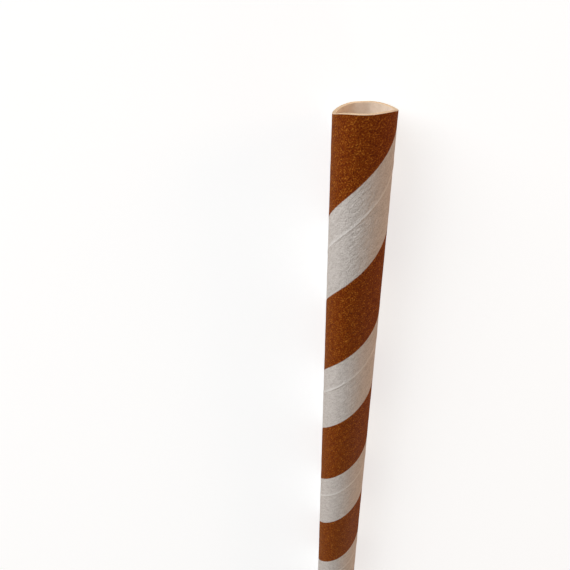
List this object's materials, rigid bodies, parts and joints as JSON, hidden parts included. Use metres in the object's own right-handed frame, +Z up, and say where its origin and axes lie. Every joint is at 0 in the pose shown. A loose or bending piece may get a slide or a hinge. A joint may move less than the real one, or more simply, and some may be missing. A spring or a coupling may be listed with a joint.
{
  "type": "paper drinking straw",
  "caption": "Straight round drinking straw of wound paper with a spiral stripe, lying on its side, open from end to end.",
  "frame": {"origin": "on the surface that the straw lies on, under the middle of its length", "axes": "+X along the straw towards its mouth, +Z up, away from the surface that it lies on"},
  "size_m": [0.197, 0.006, 0.0059],
  "materials": {
    "paper": "matte uncoated paper with a printed spiral stripe in brown on white"
  },
  "bodies": {
    "root": {"straw": "paper"}
  },
  "joints": []
}
